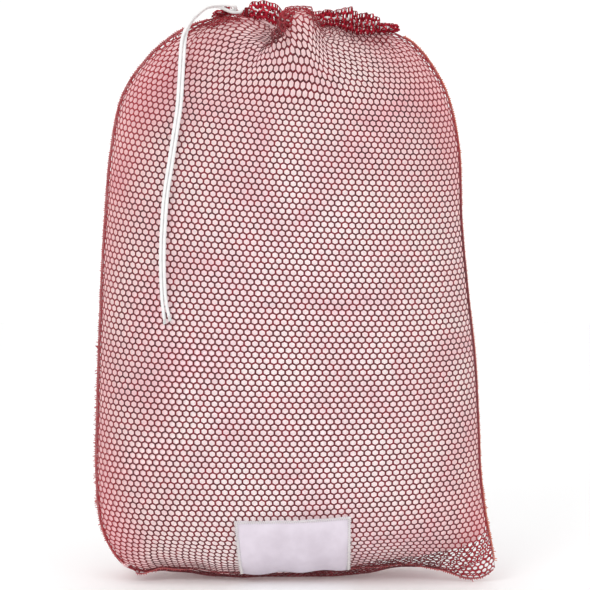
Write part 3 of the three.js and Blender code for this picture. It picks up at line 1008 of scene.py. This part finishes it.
# ---- stage ---------------------------------------------------
FILL_LEFT = [
    (-198, -54, 12), (-241, -50, 32), (-264.5, -36, 78), (-274.5, -14, 140), (-273.5, -3, 230),
    (-269.5, 0, 350), (-265.5, 0, 440), (-261.5, 0, 500), (-253.5, 0, 590), (-235.5, 0, 671),
    (-200, -1, 722), (-150, -2, 758), (-103, -2, 774), (-66, -2, 779),
]
FILL_RIGHT = [
    (186, -49, 34), (223, -44, 52), (259.5, -38, 66), (257, -17, 141), (254, -5, 210),
    (249, 0, 306), (239, 0, 396), (230, 0, 493), (225, 0, 603), (208, 0, 670), (183, -1, 712),
    (158, -2, 740), (134, -2, 752), (96, -2, 763),
]
FILL_FRONT = [
    (0, -50, 12), (0, -74, 29), (0, -88, 58), (0, -96, 100), (0, -99, 200), (-2, -98, 340),
    (-4, -93, 480), (-4, -85, 600), (2, -70, 688), (8, -51, 736), (13, -36, 757), (15, -24, 770),
]
FILL_BACK = [
    (0, -44, 8), (0, 0, 5), (0, 48, 8), (0, 78, 22), (0, 92, 56), (0, 96, 150), (0, 96, 300),
    (-2, 93, 480), (-2, 85, 600), (2, 70, 688), (8, 51, 734), (13, 33, 755), (15, 18, 768),
]


def surface_tree(table):
    faces = grid_faces(table.shape[0] - 1, table.shape[1] - 1)
    return BVHTree.FromPolygons(table.reshape(-1, 3).tolist(), faces.tolist()), faces


def press_behind_folds(points, table, gap):
    """Moves points back behind the front net's innermost fold, and down to just over its top edge."""
    ahead, step, over_edge = -300, 0.01, 6
    tree, _ = surface_tree(table)
    innermost = np.full(points.shape[:2], -np.inf)
    for index in np.ndindex(innermost.shape):
        x, _, z = points[index]
        hit = tree.ray_cast((x, ahead, z), (0, 1, 0))[0]
        while hit:
            innermost[index] = hit.y
            hit = tree.ray_cast((x, hit.y + step, z), (0, 1, 0))[0]
    beside = np.maximum(np.roll(innermost, 1, axis=1), np.roll(innermost, -1, axis=1))
    innermost = np.maximum(innermost, beside)
    order = np.argsort(table[-1, :, 0])
    edge = np.interp(points[..., 0], table[-1, order, 0], table[-1, order, 2])
    pressed = points.copy()
    pressed[..., 1] = np.maximum(points[..., 1], innermost + gap)
    pressed[..., 2] = np.minimum(points[..., 2], edge + over_edge)
    return pressed


def keep_inside(points, table, side, gap):
    """Moves points that come too near a net's inner face straight back from it."""
    reach, facing = 14, 0.6  # how near a point counts, and how squarely it faces the net
    tree, faces = surface_tree(table)
    normals = grid_normals(table, side).reshape(-1, 3)
    kept = points.copy()
    for k, point in enumerate(points):
        near, _, face, far = tree.find_nearest(point)
        outward = normals[faces[face][0]]
        beyond = np.dot(point - np.array(near), outward)
        if far < reach and beyond > -gap and abs(beyond) > facing * far:
            kept[k] = point - outward * (beyond + gap)
    return kept


def laundry_skin(across, rows):
    """The load's plain form, once round in each row, and how freely each column may fold."""
    left, right = Guide(FILL_LEFT), Guide(FILL_RIGHT)
    shares, v = np.linspace(0, 1, across + 1), np.linspace(0, 1, rows + 1)
    there, back = shares[:-1], shares[:0:-1]
    halves = [
        loft(left, right, Guide(FILL_FRONT), *np.meshgrid(there, v)),
        loft(left, right, Guide(FILL_BACK), *np.meshgrid(back, v)),
    ]
    free = smoothstep(np.sin(math.pi * np.concatenate([there, back])), 0, 0.35)
    return np.concatenate(halves, axis=1), free[:, None]


def laundry_folds(x, y, z):
    """How far the load's folds stand out: soft waves, three creases, and hollows below the mouth."""
    folds = 1.4 * np.sin(z / 16 + 1.5 * np.sin(x / 61)) * np.sin(x / 71 + 0.6 * np.sin(z / 90))
    folds += 1.2 * np.sin((x * 0.4 + z) / 27 + 2 * np.sin(x / 120)) + 1.0 * np.sin((z * 0.3 - x) / 33)
    folds -= 6.0 * bump(z - 0.02 * x, 372, 6) * plateau(x, -150, -60, 60, 130)
    folds -= 5.5 * bump(x + 0.05 * z, 164, 6) * plateau(z, 240, 300, 540, 620)
    folds -= 5.5 * bump(z - 0.45 * x, 145, 7) * plateau(x, -40, 0, 60, 110)
    in_front = smoothstep(-y, 0, 14)
    folds -= 22 * bump(x, -20 - 12 * smoothstep(z, 690, 760), 44) * smoothstep(z, 620, 735) * in_front
    folds -= 16 * bump(x, -34, 14) * smoothstep(z, 722, 748) * in_front
    folds -= 7 * plateau(x, 35, 50, 115, 135) * smoothstep(z, 728, 745) * in_front
    return folds


def make_laundry(front_net, back_net, material):
    """White laundry inside the bag. It is not part of the object: it only shows what fills it."""
    across, rows, front_gap, gap = 150, 190, 3.0, 2.5
    skin, free = laundry_skin(across, rows)
    x, y, z = skin[..., 0], skin[..., 1], skin[..., 2]
    outwards = unit(skin - skin.mean(axis=1, keepdims=True))
    points = skin + outwards * (laundry_folds(x, y, z) - 1.5)[..., None] * free
    points[..., 2] += foot_lift(x, y) * (1 - smoothstep(z, 5, 75))
    top = smoothstep(z, 730, 755) * smoothstep(-y, 4, 20)
    points[..., 2] += 32 * bump(x, 4, 24) * top * (1 - 0.5 * smoothstep(z, 757, 770))
    points[..., 2] += 6 * bump(x, -62, 14) * top
    points[..., 1] -= 6 * bump(x, 4, 24) * top
    high = slice(int(0.74 * rows), None)
    points[high, :across] = press_behind_folds(points[high, :across], front_net, front_gap)
    points = keep_inside(points.reshape(-1, 3), front_net, FRONT, gap)
    points = keep_inside(points, back_net, BACK, gap)
    columns = 2 * across
    faces = grid_faces(rows, columns, wrap=True).tolist()
    faces.append(list(range(columns - 1, -1, -1)))
    faces.append(list(range(rows * columns, (rows + 1) * columns)))
    make_mesh("laundry_inside", points, faces, material)


def make_floor():
    material, _, _ = new_material("floor_white", Base_Color=(0.95, 0.95, 0.95, 1), Roughness=0.6)
    bpy.ops.mesh.primitive_circle_add(vertices=96, radius=7, fill_type="NGON", location=(0, 0, 0))
    floor = bpy.context.active_object
    floor.name = "floor"
    floor.data.materials.append(material)


def area_light(name, place, aim, size, power):
    data = bpy.data.lights.new(name, "AREA")
    data.shape = "DISK"
    data.size = size
    data.energy = power
    aim_at(add_object(name, data), place, aim)


def make_light():
    world = bpy.data.worlds.new("studio")
    world.use_nodes = True
    background = world.node_tree.nodes["Background"]
    background.inputs["Color"].default_value = (1, 1, 1, 1)
    background.inputs["Strength"].default_value = 1.05
    bpy.context.scene.world = world
    area_light("key", (-1.6, -2.6, 2.4), (0, 0, 0.4), 1.6, 26)
    area_light("fill", (2.2, -2.2, 1.2), (0, 0, 0.4), 2.0, 9)
    bpy.context.scene.view_settings.view_transform = "Standard"


# ---- build ---------------------------------------------------
make_camera()
cord_white = yarn_material("cord_white", [(0.80, 0.80, 0.80), (0.88, 0.88, 0.87)], 0.7, 0.1, 900)
for side_name, tail_points in (("left", LEFT_TAIL), ("right", RIGHT_TAIL)):
    make_tail(side_name, tail_points, cord_white)
make_inner_cord(cord_white)

# net_yarn: painted shade in its dark reds, painted light at the mouth and along the seams
net_yarn = yarn_material("net_yarn", NET_SHADED_REDS, 0.75, 0.17, 700)
paint_lit_outskirts(net_yarn, (0.36, 0.018, 0.03))
hem_yarn = yarn_material("hem_yarn", HEM_REDS, 0.7, 0.0, 700)
dark_thread = yarn_material("seam_thread", [(0.12, 0.005, 0.010), (0.26, 0.008, 0.018)], 0.75, 0.0, 900)
edge_thread = yarn_material("edge_thread", [(0.46, 0.10, 0.11), (0.62, 0.18, 0.18)], 0.75, 0.0, 900)
# painted warm light: the right seam's thread is tinted orange for warm light falling on the bag's right
# edge
warm_lit_thread = yarn_material("warm_lit_thread", [(0.58, 0.15, 0.10), (0.74, 0.25, 0.17)], 0.75, 0.0, 900)
cream_thread = yarn_material("zigzag_thread", [(0.86, 0.82, 0.81), (0.93, 0.91, 0.89)], 0.7, 0.1, 900)
label_cloth = label_material()

front_table = make_panel(FRONT, net_yarn)
back_table = make_panel(BACK, net_yarn)
front_normals = grid_normals(front_table, FRONT)
hem, hem_normals = make_hem(hem_yarn)
make_hem_stitching(hem, hem_normals, dark_thread)
make_bartack("bartack_left", "exit_bartack_left", EXIT_START - 0.008, dark_thread)
make_bartack("bartack_right", "exit_bartack_right", EXIT_END + 0.008, dark_thread)
side_overlock("left", left_seam, front_table[:, 0], -1, 0.8, (0.05, 0.4, 60), edge_thread)
# the right seam's orange thread is painted warm light
side_overlock("right", right_seam, front_table[:, -1], 1, 0.7, (0.0, 0.15, 8), warm_lit_thread)
bottom_overlock(front_table[0], edge_thread)
make_patch(front_table, front_normals, label_cloth, cream_thread)

make_laundry(front_table, back_table, laundry_material())
make_floor()
make_light()
